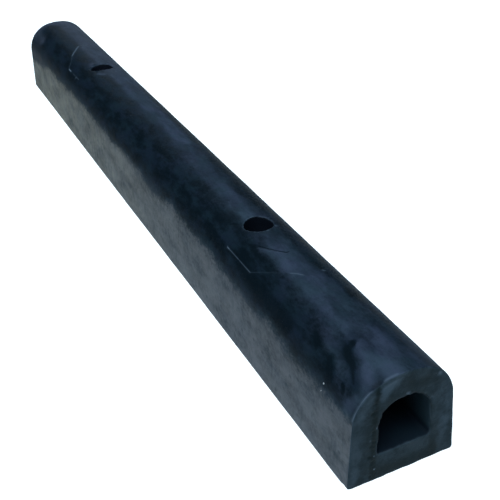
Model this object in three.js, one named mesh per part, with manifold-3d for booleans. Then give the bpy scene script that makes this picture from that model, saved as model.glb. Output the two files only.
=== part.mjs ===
// A rubber dock bumper of D section: one straight moulded length with a flat back,
// sides that lean in a little, a rounded crown and a D-shaped bore from end to end.
// A wide hole in the crown over a smaller one in the floor takes each anchor bolt: the
// head and its socket go in through the crown and seat on the floor of the bore. The
// holes are centred over the bore, which sits a little off the bumper's centre line.
// Millimetres. +X runs along the bumper, +Y across it and +Z out of the dock wall.
// The origin is the middle of the flat back.

import * as THREE from "three";
import { mergeVertices } from "three/addons/utils/BufferGeometryUtils.js";
import Module from "manifold-3d";

// Outer section
const length = 1000;
const baseWidth = 100;
const height = 100;
const sideLeanDegrees = 3.5;
const shoulderRadius = 40;
const crownRadius = 80;
const backEdgeRadius = 3;
const endEdgeRadius = 1.5;

// Walls round the bore
const sideWall = 26;
const floorThickness = 27;
const crownThickness = 24;
const coreDrift = 1.5;
const boreLeanDegrees = 2;
const boreShoulderRadius = 20;
const boreCrownRadius = 30;
const boreCornerRadius = 1.5;
const boreMouthChamfer = 1;

// Anchor holes
const anchorCount = 2;
const anchorPitch = 500;
const accessHoleDiameter = 30;
const boltHoleDiameter = 18;

// The share of a full round top that a shoulder arc may fill
const arcRoom = 0.98;

// Fineness of the facets, and how far each cutter runs past what it cuts
const arcSteps = 8;
const holeSegments = 64;
const edgeSteps = 3;
const overrun = 5;

const rubber = new THREE.MeshStandardMaterial({ color: 0x20282d, roughness: 0.62, metalness: 0 });

// The two tangent arcs that carry a leaning side, which starts at halfFoot on the foot
// line, over into the crown. One arc alone, of radius fullRound, would round the whole
// top from side to side. The shoulder arc stays tighter than that one and the crown arc
// stays wider, because otherwise the two arcs have no room to meet.
function archArcs(halfFoot, top, lean, shoulder, crown) {
  const fullRound = (halfFoot * Math.cos(lean) - top * Math.sin(lean)) / (1 - Math.sin(lean));
  const shoulderArc = Math.min(shoulder, fullRound * arcRoom);
  const crownArc = Math.max(crown, fullRound / arcRoom);
  const crownCentre = top - crownArc;
  const inset = new THREE.Vector2(halfFoot - shoulderArc / Math.cos(lean), 0);
  const upTheSide = new THREE.Vector2(-Math.sin(lean), Math.cos(lean));
  const fromCrown = inset.clone().sub(new THREE.Vector2(0, crownCentre));
  const half = fromCrown.dot(upTheSide);
  const reach = (crownArc - shoulderArc) ** 2 - fromCrown.lengthSq();
  const shoulderCentre = inset.addScaledVector(upTheSide, -half + Math.sqrt(half * half + reach));
  const meet = Math.atan2(shoulderCentre.y - crownCentre, shoulderCentre.x);
  return { shoulderArc, crownArc, shoulderCentre, crownCentre, meet };
}

// A D outline on a flat foot at height 0, mirror-symmetric about x = 0: foot corner,
// leaning side, shoulder, crown, and the same again down the other side. The width is
// taken over the foot corners, where the outline is widest.
function dOutline({ width, top, leanDegrees, shoulder, crown, corner }) {
  const lean = THREE.MathUtils.degToRad(leanDegrees);
  const cornerX = width / 2 - corner;
  const halfFoot = cornerX + (corner * (1 + Math.sin(lean))) / Math.cos(lean);
  const arcs = archArcs(halfFoot, top, lean, shoulder, crown);
  const { shoulderArc, crownArc, shoulderCentre, crownCentre, meet } = arcs;
  const outline = new THREE.Shape();
  outline.moveTo(-cornerX, 0);
  outline.absarc(cornerX, corner, corner, -Math.PI / 2, lean, false);
  outline.absarc(shoulderCentre.x, shoulderCentre.y, shoulderArc, lean, meet, false);
  outline.absarc(0, crownCentre, crownArc, meet, Math.PI - meet, false);
  outline.absarc(-shoulderCentre.x, shoulderCentre.y, shoulderArc, Math.PI - meet, Math.PI - lean, false);
  outline.absarc(-cornerX, corner, corner, Math.PI - lean, 1.5 * Math.PI, false);
  return outline;
}

// Turns a shape's x, y and extrusion direction into the bumper's +Y, +Z and +X.
function layAlongX(geometry, startX, startY, startZ) {
  const turn = new THREE.Matrix4().makeBasis(
    new THREE.Vector3(0, 1, 0),
    new THREE.Vector3(0, 0, 1),
    new THREE.Vector3(1, 0, 0),
  );
  return geometry.applyMatrix4(turn.setPosition(startX, startY, startZ));
}

function outerBody() {
  const outline = dOutline({
    width: baseWidth,
    top: height,
    leanDegrees: sideLeanDegrees,
    shoulder: shoulderRadius,
    crown: crownRadius,
    corner: backEdgeRadius,
  });
  const body = new THREE.ExtrudeGeometry(outline, {
    depth: length - 2 * endEdgeRadius,
    curveSegments: arcSteps,
    bevelThickness: endEdgeRadius,
    bevelSize: endEdgeRadius,
    bevelOffset: -endEdgeRadius,
    bevelSegments: edgeSteps,
  });
  return layAlongX(body, -length / 2 + endEdgeRadius, 0, 0);
}

function boreOutline() {
  return dOutline({
    width: baseWidth - 2 * sideWall,
    top: height - floorThickness - crownThickness,
    leanDegrees: boreLeanDegrees,
    shoulder: boreShoulderRadius,
    crown: boreCrownRadius,
    corner: boreCornerRadius,
  });
}

function boreCutter() {
  const bore = new THREE.ExtrudeGeometry(boreOutline(), {
    depth: length + 2 * overrun,
    curveSegments: arcSteps,
    bevelEnabled: false,
  });
  return layAlongX(bore, -length / 2 - overrun, coreDrift, floorThickness);
}

// A short plug that has the bore's outline inside the end face and opens out by the
// chamfer where it reaches the face. It is the same at both of its ends.
function mouthCutter(endX) {
  const plug = new THREE.ExtrudeGeometry(boreOutline(), {
    depth: 2 * overrun,
    curveSegments: arcSteps,
    bevelThickness: boreMouthChamfer,
    bevelSize: boreMouthChamfer,
    bevelSegments: 1,
  });
  const startX = endX > 0 ? endX : endX - 2 * overrun;
  return layAlongX(plug, startX, coreDrift, floorThickness);
}

// An upright round cutter between two heights, over the middle of the bore.
function holeCutter(diameter, x, fromZ, toZ) {
  const cutter = new THREE.CylinderGeometry(diameter / 2, diameter / 2, toZ - fromZ, holeSegments);
  cutter.rotateX(Math.PI / 2);
  return cutter.translate(x, coreDrift, (fromZ + toZ) / 2);
}

function toSolid(wasm, geometry) {
  geometry.deleteAttribute("normal");
  geometry.deleteAttribute("uv");
  const merged = mergeVertices(geometry, 1e-4);
  return new wasm.Manifold(
    new wasm.Mesh({
      numProp: 3,
      vertProperties: new Float32Array(merged.attributes.position.array),
      triVerts: new Uint32Array(merged.index.array),
    }),
  );
}

function toGeometry(solid) {
  const mesh = solid.getMesh();
  const geometry = new THREE.BufferGeometry();
  geometry.setAttribute("position", new THREE.BufferAttribute(new Float32Array(mesh.vertProperties), 3));
  geometry.setIndex(new THREE.BufferAttribute(new Uint32Array(mesh.triVerts), 1));
  geometry.computeVertexNormals();
  return geometry;
}

function bumperGeometry(wasm) {
  const midBore = floorThickness + (height - floorThickness - crownThickness) / 2;
  let solid = toSolid(wasm, outerBody());
  solid = solid.subtract(toSolid(wasm, boreCutter()));
  for (const endX of [-length / 2, length / 2]) {
    solid = solid.subtract(toSolid(wasm, mouthCutter(endX)));
  }
  for (let i = 0; i < anchorCount; i += 1) {
    const x = (i - (anchorCount - 1) / 2) * anchorPitch;
    solid = solid.subtract(toSolid(wasm, holeCutter(accessHoleDiameter, x, midBore, height + overrun)));
    solid = solid.subtract(toSolid(wasm, holeCutter(boltHoleDiameter, x, -overrun, midBore)));
  }
  return toGeometry(solid);
}

const wasm = await Module();
wasm.setup();

const dockBumper = new THREE.Group();
dockBumper.name = "dock_bumper";

const rubberBody = new THREE.Mesh(bumperGeometry(wasm), rubber);
rubberBody.name = "rubber_body";
dockBumper.add(rubberBody);

export default dockBumper;
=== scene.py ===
"""The looks of a rubber dock bumper: one moulded D-section length with a D bore and two anchor stations.

Everything is in metres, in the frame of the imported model: +X runs along the bumper, +Y across it and +Z
from the flat back to the crown. The rubber is one closed mesh: an outer skin, two end faces, the bore and
the anchor holes.
"""

import logging
import math
from dataclasses import dataclass, field
from enum import IntEnum

import bmesh
import bpy
import numpy as np
from mathutils import Matrix, Vector
from mathutils.geometry import delaunay_2d_cdt


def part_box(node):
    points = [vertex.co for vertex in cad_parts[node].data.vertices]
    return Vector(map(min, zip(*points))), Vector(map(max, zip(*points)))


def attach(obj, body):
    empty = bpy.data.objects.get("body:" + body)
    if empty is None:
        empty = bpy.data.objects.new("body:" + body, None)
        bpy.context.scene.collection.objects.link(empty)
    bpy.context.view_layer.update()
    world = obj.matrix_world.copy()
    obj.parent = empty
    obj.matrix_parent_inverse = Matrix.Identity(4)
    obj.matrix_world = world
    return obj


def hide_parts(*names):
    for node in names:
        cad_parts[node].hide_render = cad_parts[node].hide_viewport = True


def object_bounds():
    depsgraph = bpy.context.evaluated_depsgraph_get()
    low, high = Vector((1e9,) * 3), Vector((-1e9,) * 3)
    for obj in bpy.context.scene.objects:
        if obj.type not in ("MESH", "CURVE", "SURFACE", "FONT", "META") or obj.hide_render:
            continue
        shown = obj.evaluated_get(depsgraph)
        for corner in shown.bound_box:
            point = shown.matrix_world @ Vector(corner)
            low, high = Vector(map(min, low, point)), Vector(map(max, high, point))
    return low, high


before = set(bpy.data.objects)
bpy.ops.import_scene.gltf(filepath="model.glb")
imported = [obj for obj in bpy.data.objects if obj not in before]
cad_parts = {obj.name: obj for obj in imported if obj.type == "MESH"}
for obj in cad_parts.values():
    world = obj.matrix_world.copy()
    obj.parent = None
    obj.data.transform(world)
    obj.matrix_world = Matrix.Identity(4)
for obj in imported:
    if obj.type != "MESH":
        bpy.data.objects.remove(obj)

Socket = bpy.types.NodeSocket
Colour = tuple[float, float, float, float]

CAD_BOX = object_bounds()
CAD_NODE = "rubber_body"
MM = 0.001
LOG = logging.getLogger("dock_bumper")


class Zone(IntEnum):
    """The surfaces of the bumper, and the order of their material slots."""

    SKIN = 0
    END = 1
    BORE = 2


@dataclass(frozen=True)
class DSection:
    """A D outline on a flat foot, followed by the length along its edge from the middle of the crown.

    Towards +Y the edge runs over the crown arc, the shoulder arc, the leaning side and the foot corner,
    and then along the foot to its middle. The half towards -Y mirrors it.
    """

    width: float
    top: float
    lean: float
    shoulder: float
    crown: float
    corner: float
    foot: float = 0.0
    shift: float = 0.0

    def stretches(self) -> list[tuple[float, float]]:
        """Works out the stretches of one half.

        Returns:
            The length and the curvature of each stretch, from the crown to the middle of the foot.
        """
        rise = self.top - self.foot
        sine, cosine = math.sin(self.lean), math.cos(self.lean)
        corner_y = self.width / 2 - self.corner
        start = Vector((corner_y + self.corner * (1 + sine) / cosine - self.shoulder / cosine, 0))
        upward = Vector((-sine, cosine))
        from_crown = start - Vector((0, rise - self.crown))
        half = from_crown.dot(upward)
        reach = (self.crown - self.shoulder) ** 2 - from_crown.length_squared
        centre = start + upward * (-half + math.sqrt(half * half + reach))
        meet = math.atan2(centre.x, centre.y - rise + self.crown)
        side_angle = math.pi / 2 - self.lean
        side_length = (centre.y + self.shoulder * sine - self.corner * (1 + sine)) / cosine
        return [
            (self.crown * meet, 1 / self.crown),
            (self.shoulder * (side_angle - meet), 1 / self.shoulder),
            (side_length, 0.0),
            (self.corner * (math.pi - side_angle), 1 / self.corner),
            (corner_y, 0.0),
        ]

    @property
    def half_length(self) -> float:
        """The length along the edge from the middle of the crown to the middle of the foot."""
        return sum(length for length, _ in self.stretches())

    def at(self, along: np.ndarray) -> tuple[np.ndarray, np.ndarray]:
        """Follows the edge.

        Args:
            along: Lengths from the middle of the crown, positive towards +Y. They wrap round at the foot.

        Returns:
            The points and the outward normals, as y and z.
        """
        reach = self.half_length
        wrapped = (along + reach) % (2 * reach) - reach
        sign = np.where(wrapped < 0, -1.0, 1.0)
        left = np.abs(wrapped)
        y, z, angle = np.zeros_like(left), np.full_like(left, self.top), np.zeros_like(left)
        begun, turned = 0.0, 0.0
        for length, curvature in self.stretches():
            gone = np.clip(left - begun, 0, length)
            if curvature:
                y = y + (np.sin(turned + gone * curvature) - math.sin(turned)) / curvature
                z = z + (np.cos(turned + gone * curvature) - math.cos(turned)) / curvature
            else:
                y = y + gone * math.cos(turned)
                z = z - gone * math.sin(turned)
            angle = angle + gone * curvature
            begun += length
            turned += length * curvature
        points = np.stack([y * sign + self.shift, z], axis=1)
        return points, np.stack([np.sin(angle) * sign, np.cos(angle)], axis=1)

    def over(self, y: np.ndarray) -> np.ndarray:
        """Finds places on the upper half from above.

        Args:
            y: Distances across the bumper.

        Returns:
            The length along the edge of the point at each distance.
        """
        table = np.linspace(0, sum(length for length, _ in self.stretches()[:3]), 2000)
        reached = self.at(table)[0][:, 0] - self.shift
        across = np.asarray(y, float) - self.shift
        return np.sign(across) * np.interp(np.abs(across), reached, table)


@dataclass(frozen=True)
class Waves:
    """A gentle unevenness made of sine waves in seeded directions."""

    seed: int
    shortest: float
    longest: float
    height: float
    stretch: float = 1.0
    count: int = 26

    def at(self, points: np.ndarray) -> np.ndarray:
        """Adds the waves up.

        Args:
            points: Places, one row each.

        Returns:
            The height at each place, mostly within plus or minus the waves' height.
        """
        draw = np.random.default_rng(self.seed)
        placed = points / np.array([self.stretch, 1.0, 1.0][: points.shape[1]])
        total = np.zeros(len(points))
        for _ in range(self.count):
            direction = draw.normal(size=points.shape[1])
            direction /= np.linalg.norm(direction)
            wave = self.shortest * (self.longest / self.shortest) ** draw.random()
            total += np.sin(placed @ direction * (2 * math.pi / wave) + draw.random() * 2 * math.pi)
        return self.height * total / math.sqrt(self.count)


def distance_to_path(points: np.ndarray, path: np.ndarray) -> tuple[np.ndarray, np.ndarray]:
    """Measures from points to a path of straight stretches.

    Args:
        points: Places, one row each.
        path: The path's corners, one row each.

    Returns:
        Each point's distance, and how far along the path its nearest place is.
    """
    best = np.full(len(points), np.inf)
    along = np.zeros(len(points))
    begun = 0.0
    for start, end in zip(path[:-1], path[1:]):
        stretch = end - start
        length = float(np.linalg.norm(stretch))
        share = np.clip((points - start) @ stretch / length**2, 0, 1)
        gap = np.linalg.norm(points - start - share[:, None] * stretch, axis=1)
        closer = gap < best
        best[closer] = gap[closer]
        along[closer] = begun + share[closer] * length
        begun += length
    return best, along


@dataclass(frozen=True)
class Line:
    """A raised or sunk line that the mould or a pull left in the rubber."""

    path: tuple[tuple[float, float], ...]
    zone: Zone
    width: float
    rise: float
    shine: float = 0.0
    broken: float = 0.0
    break_lengths: tuple[float, float] = (4.3 * MM, 11 * MM)

    def strength(self, points: np.ndarray, path: np.ndarray) -> np.ndarray:
        """Fades the line across and along.

        Args:
            points: Places, one row each.
            path: The line's corners in the same space.

        Returns:
            1 on the middle of the line, falling to 0 beside it, and less where the line is broken.
        """
        gap, along = distance_to_path(points, path)
        short, long = self.break_lengths
        cut = np.sin(along / short) * np.sin(along / long + 1.3)
        kept = 1 - self.broken * np.clip(0.5 - cut, 0, 1)
        return np.exp(-((gap / self.width) ** 2)) * kept


@dataclass(frozen=True)
class Dent:
    """A small pit, or with a negative depth a small lump."""

    place: tuple[float, float, float]
    radius: float
    depth: float
    shine: float = 0.0


@dataclass(frozen=True)
class Film:
    """A pale drift of bloomed rubber, in places painted sheen, or with a negative strength a dark drift of
    stains, in places painted shade, thickest along its path.

    Each corner of the path holds the two coordinates of its place and the drift's half-width there.
    """

    path: tuple[tuple[float, float, float], ...]
    zone: Zone
    strength: float

    def at(self, points: np.ndarray, path: np.ndarray) -> np.ndarray:
        """Fades the drift across its path.

        Args:
            points: Places, one row each.
            path: The drift's corners in the same space.

        Returns:
            The strength at each place.
        """
        widths = np.array(self.path)[:, 2]
        reached = np.concatenate([[0], np.cumsum(np.linalg.norm(np.diff(path, axis=0), axis=1))])
        gap, along = distance_to_path(points, path)
        return self.strength * np.exp(-((gap / np.interp(along, reached, widths)) ** 2))


def in_metres(path: tuple) -> tuple:
    """Turns the corners of a path from millimetres into metres."""
    return tuple(tuple(value * MM for value in corner) for corner in path)


class Draft:
    """The bumper's mesh while it is put together."""

    def __init__(self) -> None:
        """Starts with no vertices and no faces."""
        self.points: list[np.ndarray] = []
        self.count = 0
        self.faces: list[tuple[int, ...]] = []
        self.zones: list[Zone] = []

    def place(self, points: np.ndarray) -> np.ndarray:
        """Adds vertices.

        Args:
            points: Their places, one row each.

        Returns:
            Their numbers.
        """
        self.points.append(points)
        self.count += len(points)
        return np.arange(self.count - len(points), self.count)

    def cover(self, corners: np.ndarray, zone: Zone) -> None:
        """Adds faces to a surface, given as rows of vertex numbers."""
        self.faces.extend(tuple(int(c) for c in row) for row in corners)
        self.zones.extend([zone] * len(corners))

    def band(self, first: np.ndarray, second: np.ndarray, zone: Zone) -> None:
        """Joins two closed rings that have as many vertices with a band of faces."""
        rows = np.stack([first, np.roll(first, -1), np.roll(second, -1), second], axis=1)
        self.cover(rows, zone)


def inside(points: np.ndarray, ring: np.ndarray) -> np.ndarray:
    """Tests which points a closed ring holds.

    Args:
        points: Places in a plane, one row each.
        ring: The ring's corners in that plane.

    Returns:
        True for each point that lies inside.
    """
    held = np.zeros(len(points), bool)
    for start, end in zip(ring, np.roll(ring, -1, axis=0)):
        if start[1] == end[1]:
            continue
        spans = (start[1] > points[:, 1]) != (end[1] > points[:, 1])
        crossing = start[0] + (points[:, 1] - start[1]) * (end[0] - start[0]) / (end[1] - start[1])
        held ^= spans & (points[:, 0] < crossing)
    return held


def nearest(points: np.ndarray, others: np.ndarray, block: int = 4000) -> np.ndarray:
    """Measures from each point to the nearest of some others.

    Args:
        points: Places, one row each.
        others: The places to measure to.
        block: How many points are measured at a time.

    Returns:
        Each point's distance.
    """
    if not len(others):
        return np.full(len(points), np.inf)
    parts = []
    squares = (others**2).sum(1)
    for start in range(0, len(points), block):
        part = points[start : start + block]
        found = (part**2).sum(1)[:, None] + squares - 2 * part @ others.T
        parts.append(np.sqrt(np.maximum(found.min(1), 0)))
    return np.concatenate(parts) if parts else np.zeros(0)


def spread_from(triangles: list, first: tuple[int, int], edges: list[tuple[int, int]]) -> list:
    """Finds the triangles that can be reached without crossing an edge.

    Args:
        triangles: All triangles, as vertex numbers.
        first: The side, in its turning direction, of the triangle to start from.
        edges: The edges that aren't crossed, as pairs of vertex numbers.

    Returns:
        The triangles that were reached.
    """
    owners = {}
    for number, (a, b, c) in enumerate(triangles):
        owners[a, b] = owners[b, c] = owners[c, a] = number
    walls = set(edges) | {(b, a) for a, b in edges}
    waiting = [owners[first]]
    reached = set(waiting)
    while waiting:
        a, b, c = triangles[waiting.pop()]
        for side in ((b, a), (c, b), (a, c)):
            number = owners.get(side)
            if side not in walls and number is not None and number not in reached:
                reached.add(number)
                waiting.append(number)
    return [triangles[number] for number in sorted(reached)]


@dataclass(frozen=True)
class Weave:
    """How closely a rectangle of a surface is filled with vertices."""

    low: tuple[float, float]
    high: tuple[float, float]
    pitch: float

    def lattice(self) -> np.ndarray:
        """Fills the rectangle with a staggered lattice.

        Returns:
            The lattice's points.
        """
        rise = self.pitch * math.sqrt(3) / 2
        rows = max(int((self.high[1] - self.low[1]) / rise), 1)
        columns = max(int((self.high[0] - self.low[0]) / self.pitch), 1)
        across, along = np.meshgrid(np.arange(columns + 1), np.arange(rows))
        x = self.low[0] + (across + 0.25 + 0.5 * (along % 2)) * self.pitch
        y = self.low[1] + (along + 0.5) * (self.high[1] - self.low[1]) / rows
        return np.stack([x.ravel(), y.ravel()], axis=1)

    def holds(self, points: np.ndarray, margin: float = 0.0) -> np.ndarray:
        """Tests which points lie in the rectangle, grown by a margin."""
        low, high = np.array(self.low) - margin, np.array(self.high) + margin
        return ((points > low) & (points < high)).all(axis=1)


@dataclass
class Flat:
    """A surface laid out flat, to be filled with triangles."""

    border: np.ndarray
    openings: list[np.ndarray] = field(default_factory=list)
    guides: list[np.ndarray] = field(default_factory=list)
    weaves: list[Weave] = field(default_factory=list)

    def fill(self) -> tuple[np.ndarray, np.ndarray]:
        """Fills the surface, the finest weave first.

        Returns:
            All points, the border's first and then each opening's, and the triangles between them.
        """
        rings = [self.border, *self.openings]
        fixed = np.concatenate(rings)
        kept = [fixed]
        for guide in self.guides:
            room = 0.5 * np.linalg.norm(guide[1] - guide[0])
            guide = guide[nearest(guide, np.concatenate(kept)) > room]
            kept.append(guide[self.holds(guide)])
        held = np.concatenate(kept)
        for place, weave in enumerate(self.weaves):
            points = weave.lattice()
            for finer in self.weaves[:place]:
                points = points[~finer.holds(points, 0.4 * weave.pitch)]
            points = points[nearest(points, held) > 0.62 * weave.pitch]
            kept.append(points[self.holds(points)])
        points = np.concatenate(kept)
        edges = []
        begun = 0
        for ring in rings:
            numbers = np.arange(begun, begun + len(ring))
            edges.extend(zip(numbers.tolist(), np.roll(numbers, -1).tolist()))
            begun += len(ring)
        found = delaunay_2d_cdt([Vector(p) for p in points / MM], edges, [], 0, 1e-6)
        if len(found[0]) != len(points):
            raise ValueError("two points of a surface fall together")
        y, next_y = self.border[:, 1], np.roll(self.border[:, 1], -1)
        x, next_x = self.border[:, 0], np.roll(self.border[:, 0], -1)
        first = edges[0] if (x * next_y - next_x * y).sum() > 0 else edges[0][::-1]
        return points, np.array(spread_from(found[2], first, edges))

    def holds(self, points: np.ndarray) -> np.ndarray:
        """Tests which points lie inside the border and outside every opening."""
        held = inside(points, self.border)
        for opening in self.openings:
            held &= ~inside(points, opening)
        return held


@dataclass(frozen=True)
class Wrap:
    """A skin all round a section, from near one end to near the other, laid out flat from a seam."""

    section: DSection
    seam: float
    zone: Zone
    step: float
    run: float

    @property
    def around(self) -> float:
        """The length all round the section."""
        return 2 * self.section.half_length

    @property
    def start(self) -> float:
        """Where the seam runs, as a length along the edge."""
        return self.seam - self.section.half_length

    @property
    def turns(self) -> np.ndarray:
        """The lengths along the edge at which the rings of the skin have their vertices."""
        count = round(self.around / self.step)
        return self.start + self.around * np.arange(count) / count


@dataclass
class RubberBumper:
    """The whole bumper as one closed mesh. Lengths in metres."""

    length: float
    width: float
    height: float
    side_lean: float = math.radians(3.5)
    shoulder: float = 40 * MM
    crown: float = 80 * MM
    back_edge: float = 3 * MM
    side_wall: float = 26 * MM
    floor: float = 27 * MM
    crown_wall: float = 24 * MM
    core_drift: float = 1.5 * MM
    bore_lean: float = math.radians(2)
    bore_shoulder: float = 20 * MM
    bore_crown: float = 30 * MM
    bore_corner: float = 1.5 * MM
    anchor_pitch: float = 500 * MM
    access_radius: float = 15 * MM
    bolt_radius: float = 9 * MM
    skin_inset: float = 0.28 * MM
    end_edge: float = 1.5 * MM
    edge_room: float = 4 * MM
    mouth_edge: float = 1.2 * MM
    access_rim: float = 1.7 * MM
    access_wear: float = 2.2 * MM
    wear_turn: float = 0.5
    flap_reach: float = 5.5 * MM
    flap_turn: float = -0.1
    flap_half_turn: float = 1.4
    lip_reach: float = 1.1 * MM
    small_rim: float = 0.7 * MM
    rim_fade: float = 2.2 * MM
    edge_spread: tuple[float, float] = (0.7, 1.25)
    mouth_spread: tuple[float, float] = (0.5, 1.5)
    rim_spread: tuple[float, float] = (0.6, 1.3)
    rolling: Waves = Waves(seed=3, shortest=45 * MM, longest=260 * MM, height=0.11 * MM, stretch=2.2)
    ripples: Waves = Waves(seed=5, shortest=11 * MM, longest=34 * MM, height=0.045 * MM, stretch=1.4)
    end_ripple: float = 1.4
    foot_band: float = 0.2 * MM
    strip_pits: int = 120
    mouth_chips: int = 44
    rim_chips: int = 22
    skin_pits: int = 46
    ring_steps: int = 96
    edge_steps: int = 4
    rim_steps: int = 5
    wall_steps: int = 10
    edge_row: float = 2.4 * MM
    mouth_rows: tuple[float, float] = (1.1 * MM, 2.4 * MM)
    guide_step: float = 1.1 * MM
    fine_from: float = 212 * MM
    fine_around: float = 48 * MM
    near_hole: float = 22 * MM
    near_end: float = 60 * MM
    strip_low: tuple[float, float] = (-31 * MM, 0.0)
    strip_high: tuple[float, float] = (-21 * MM, 96 * MM)
    mark_step: float = 1.2 * MM
    outline_pitch: float = 2 * MM
    skin_pitch: float = 2.7 * MM
    foot_pitch: float = 8 * MM
    fine_pitch: float = 1.6 * MM
    end_pitch: float = 2 * MM
    strip_pitch: float = 0.9 * MM
    bore_pitch: float = 4.5 * MM

    def __post_init__(self) -> None:
        """Works out the two sections and sets the marks down."""
        self.outer = DSection(
            self.width, self.height, self.side_lean, self.shoulder, self.crown, self.back_edge
        )
        self.bore = DSection(
            self.width - 2 * self.side_wall,
            self.height - self.crown_wall,
            self.bore_lean,
            self.bore_shoulder,
            self.bore_crown,
            self.bore_corner,
            foot=self.floor,
            shift=self.core_drift,
        )
        self.outer_wrap = Wrap(self.outer, 30 * MM, Zone.SKIN, self.outline_pitch, self.foot_pitch)
        self.bore_wrap = Wrap(self.bore, 18 * MM, Zone.BORE, self.outline_pitch, self.bore_pitch)
        self.draft = Draft()
        self.edge_rings: list[np.ndarray] = []
        self.lines = self.witness_lines()
        self.dents = self.small_marks()
        self.films = self.drifts()

    @property
    def reach(self) -> float:
        """How far from the middle the even part of the skin and the bore ends."""
        return self.length / 2 - self.edge_room

    @property
    def stations(self) -> tuple[float, float]:
        """The anchor holes' places along the bumper."""
        return -self.anchor_pitch / 2, self.anchor_pitch / 2

    @property
    def turn(self) -> np.ndarray:
        """The angle of each place round a hole's ring."""
        return np.linspace(0, 2 * math.pi, self.ring_steps, endpoint=False)

    def witness_lines(self) -> list[Line]:
        """Sets down the lines that the mould and its inserts left. The lists are in millimetres.

        Returns:
            The lines. Those on the skin are x and y from above, those on an end are y and z.
        """
        near_side = ((255.2, -34.8), (306.2, -34.9))
        near_start = ((255.2, -34.8), (260, -34.8))
        near_slope = ((306.2, -34.9), (329.7, -21.6), (339.5, -12))
        near_nose = ((340, -11.5), (344.3, -7.4), (349, -4))
        near_back = ((349, -4), (354, 0), (357, 6), (345, 14), (320, 25.2))
        far_side = ((-250, -33.8), (-288, -33.9))
        far_corner = ((-290, -33.9), (-300.5, -34))
        far_slope = ((-301, -33.7), (-312.7, -26.6), (-327, -20.5))
        far_nose = ((-328.4, -20.2), (-341.2, -11.7), (-357.2, -1.5))
        far_back = ((-357.2, -1.5), (-356, 6), (-341, 14.3))
        crease = ((283, -16.4), (296, -9.3), (303, -4.7), (309.3, 0.7), (308.8, 3.4))
        crease_lip = ((286.5, -18), (298.5, -11), (305.5, -6.3), (311.5, -1))
        scratch = ((218, -31), (233.2, -21.2), (241.3, -13))
        near_rim = ((498.4, -45), (498.4, -25.5))
        near_rim_top = ((498.2, -19), (498, -6))
        upper_left = ((-23, 92), (-22.4, 88), (-24.6, 79.1), (-26, 66.8))
        left = (*upper_left, (-26.3, 44.4), (-27.3, 18.4), (-26, 10), (-26.4, 0))
        right = ((25.6, 27), (27.3, 18), (28.6, 7.5), (29.1, 0))
        shelf = ((-19, 91.5), (-12, 94.2), (-3, 96))
        on_skin = [
            (near_side, 0.4, 0.24, 0.6, 0.2),
            (near_start, 0.5, 0.1, 0.6, 0.0),
            (near_slope, 0.4, 0.14, 0.14, 0.7),
            (near_nose, 0.7, 0.16, 0.5, 0.3),
            (near_back, 0.4, 0.1, 0.05, 0.8),
            (far_side, 0.6, 0.2, 0.4, 0.8),
            (far_corner, 0.8, 0.25, 1.3, 0.0),
            (far_slope, 0.7, 0.2, 0.35, 0.8),
            (far_nose, 1.1, 0.22, 1.0, 0.2),
            (far_back, 0.8, 0.14, 0.25, 0.8),
            (crease, 0.6, -0.5, -1.0, 0.0),
            (crease_lip, 0.8, 0.1, 0.14, 0.5),
            (scratch, 0.6, -0.15, -0.5, 0.2),
            (near_rim, 0.8, 0.1, 0.8, 0.3),
            (near_rim_top, 1.0, 0.1, 0.55, 0.5),
        ]
        on_end = [
            (left, 1.1, 0.3, -0.5, 0.6),
            (right, 0.7, -0.25, -0.4, 0.4),
            (shelf, 1.4, 0.0, 0.3, 0.2),
        ]
        lines = []
        for zone, placed in ((Zone.SKIN, on_skin), (Zone.END, on_end)):
            for path, width, rise, shine, broken in placed:
                lines.append(Line(in_metres(path), zone, width * MM, rise * MM, shine, broken))
        return lines

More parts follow.
